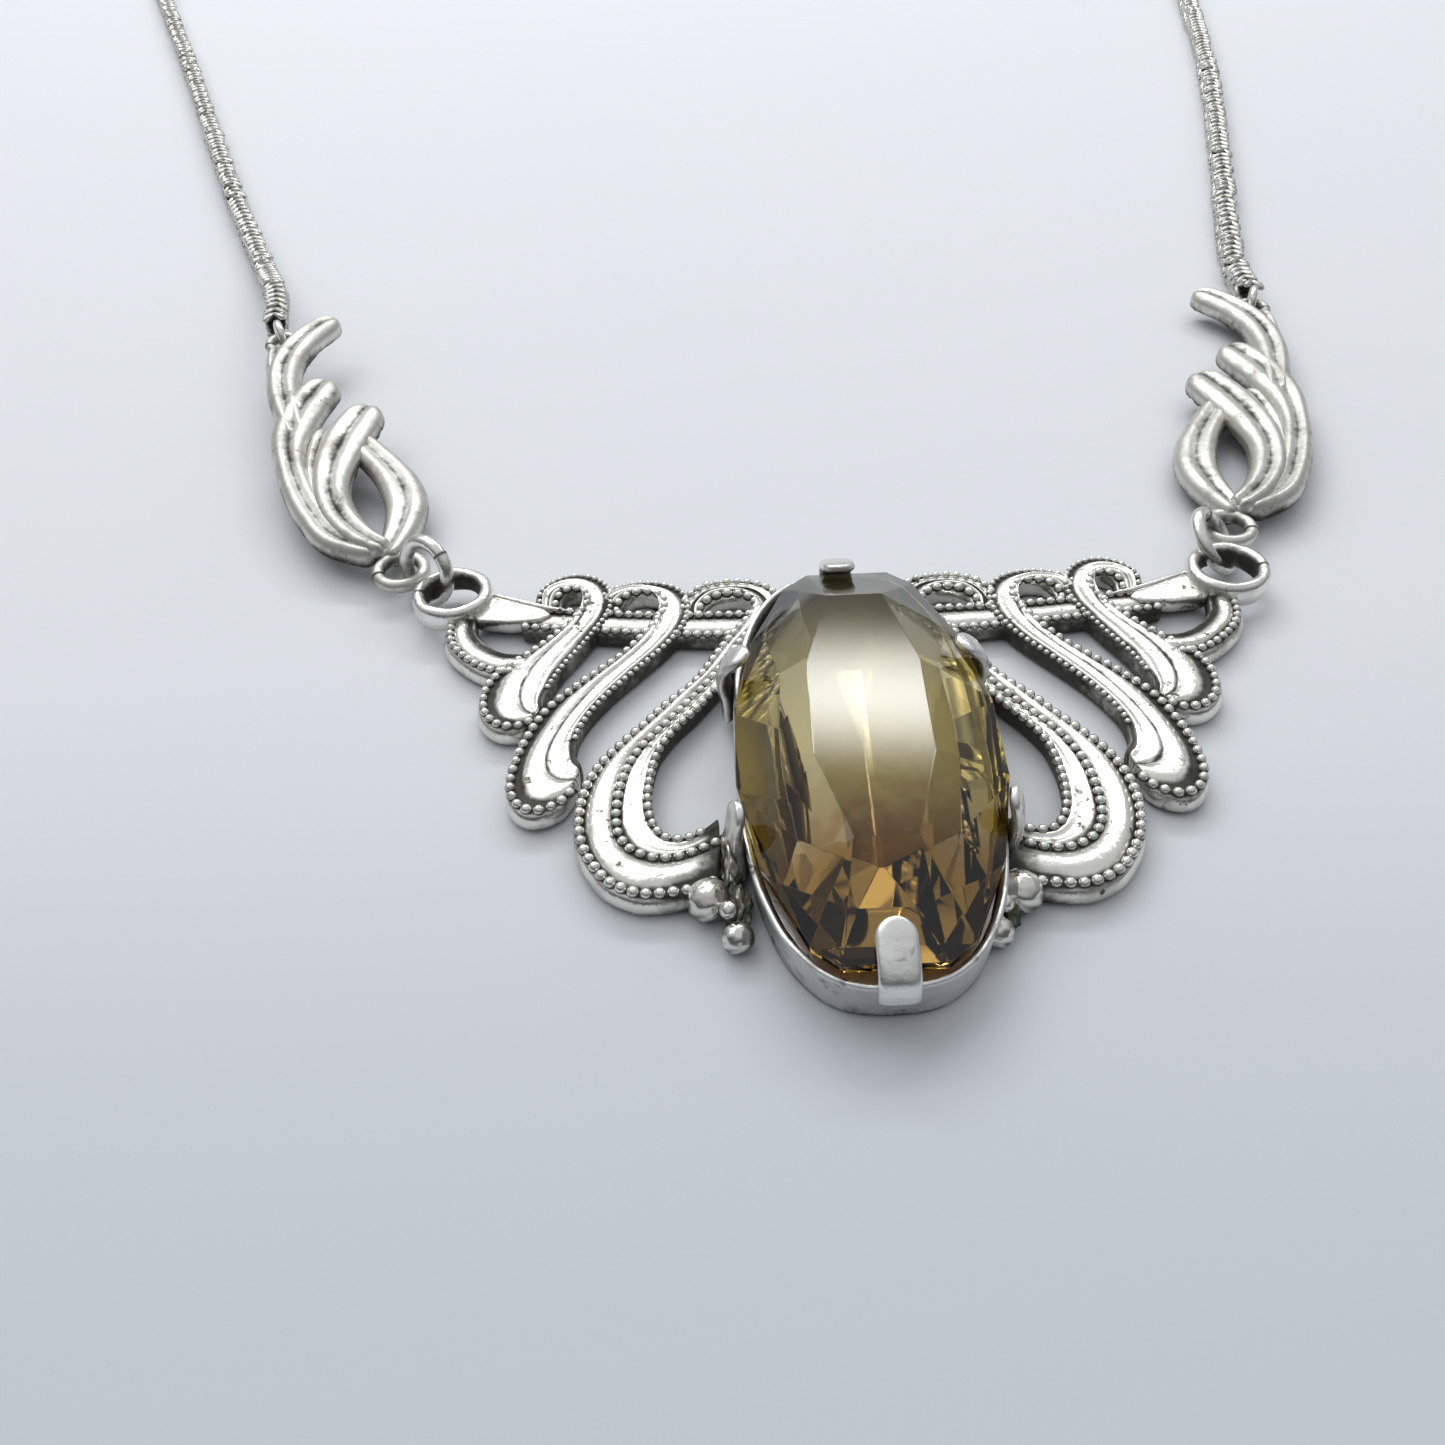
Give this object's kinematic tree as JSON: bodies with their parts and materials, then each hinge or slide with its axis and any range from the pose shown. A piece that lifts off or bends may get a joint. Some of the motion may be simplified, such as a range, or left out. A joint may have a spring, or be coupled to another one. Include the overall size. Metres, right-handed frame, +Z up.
{
  "type": "pendant necklace",
  "caption": "Necklace with an openwork scroll centrepiece holding a long faceted stone in six prongs, cast side links and two fine chains with a spring-ring clasp.",
  "frame": {"origin": "on the surface under the middle of the centrepiece and its two side links", "axes": "+Y towards the neck, +X to the right as it is looked at, +Z up out of the surface through the face of the stone"},
  "size_m": [0.1243, 0.1749, 0.0055],
  "materials": {
    "scroll_silver": "cast silver with dark patina left in the hollows",
    "collar_silver": "satin silver, lightly tarnished",
    "prong_silver": "bright silver, softly worn",
    "aged_silver": "silver with olive and green tarnish",
    "link_silver": "cast silver, polished on its ridges",
    "ring_silver": "bright drawn silver wire",
    "chain_silver": "oxidised woven silver chain",
    "clasp_silver": "polished silver",
    "spring_steel": "plain spring wire",
    "smoky_glass": "smoky citrine glass, cut in facets"
  },
  "bodies": {
    "centrepiece": {"scroll_wing_right": "scroll_silver", "scroll_wing_left": "scroll_silver", "setting_collar": "collar_silver", "bearing_ledge": "collar_silver", "stone": "smoky_glass", "prong_top": "prong_silver", "prong_bottom": "prong_silver", "prong_upper_right": "prong_silver", "prong_lower_right": "prong_silver", "prong_upper_left": "prong_silver", "prong_lower_left": "prong_silver", "granule_right_large": "aged_silver", "granule_right_small": "aged_silver", "granule_right_tiny": "aged_silver", "granule_left_large": "aged_silver", "granule_left_small": "aged_silver", "granule_left_tiny": "aged_silver", "eyelet_right": "ring_silver", "eyelet_left": "ring_silver"},
    "jump_right": {"jump_ring_right": "ring_silver"},
    "link_right": {"side_link_right": "link_silver"},
    "chain_right_body": {"chain_ring_right": "ring_silver", "chain_right": "chain_silver", "chain_coil_right": "chain_silver", "end_ring": "clasp_silver"},
    "jump_left": {"jump_ring_left": "ring_silver"},
    "link_left": {"side_link_left": "link_silver"},
    "chain_left_body": {"chain_ring_left": "ring_silver", "chain_left": "chain_silver", "chain_coil_left": "chain_silver", "clasp_body": "clasp_silver", "clasp_spring": "spring_steel", "clasp_eye": "clasp_silver"},
    "bolt": {"clasp_bolt": "clasp_silver"}
  },
  "joints": [
    {"name": "jump_ring_right_lift", "type": "hinge", "parent": "centrepiece", "child": "jump_right", "pos_m": [0.02448, -0.00021, 0.0013], "axis": [0.9681, -0.2504, 0], "range_deg": [0, 22]},
    {"name": "side_link_right_swing", "type": "hinge", "parent": "jump_right", "child": "link_right", "pos_m": [0.02503, 0.00191, 0.0013], "axis": [0, 0, 1], "range_deg": [-15, 15]},
    {"name": "chain_right_swing", "type": "hinge", "parent": "link_right", "child": "chain_right_body", "pos_m": [0.03328, 0.02831, 0.0013], "axis": [0, 0, 1], "range_deg": [-12, 12]},
    {"name": "jump_ring_left_lift", "type": "hinge", "parent": "centrepiece", "child": "jump_left", "pos_m": [-0.01944, -0.00084, 0.0013], "axis": [0.6293, 0.7771, 0], "range_deg": [0, 60]},
    {"name": "side_link_left_swing", "type": "hinge", "parent": "jump_left", "child": "link_left", "pos_m": [-0.02114, 0.00054, 0.0013], "axis": [0, 0, 1], "range_deg": [-15, 15]},
    {"name": "chain_left_swing", "type": "hinge", "parent": "link_left", "child": "chain_left_body", "pos_m": [-0.03328, 0.02531, 0.00297], "axis": [0, 0, 1], "range_deg": [-12, 12]},
    {"name": "clasp_bolt_open", "type": "hinge", "parent": "chain_left_body", "child": "bolt", "pos_m": [-0.06528, 0.13379, 0.0008], "axis": [0, 0, 1], "range_deg": [0, 50], "stiffness_Nm_per_rad": 0.0002, "springref_deg": -11.46}
  ]
}
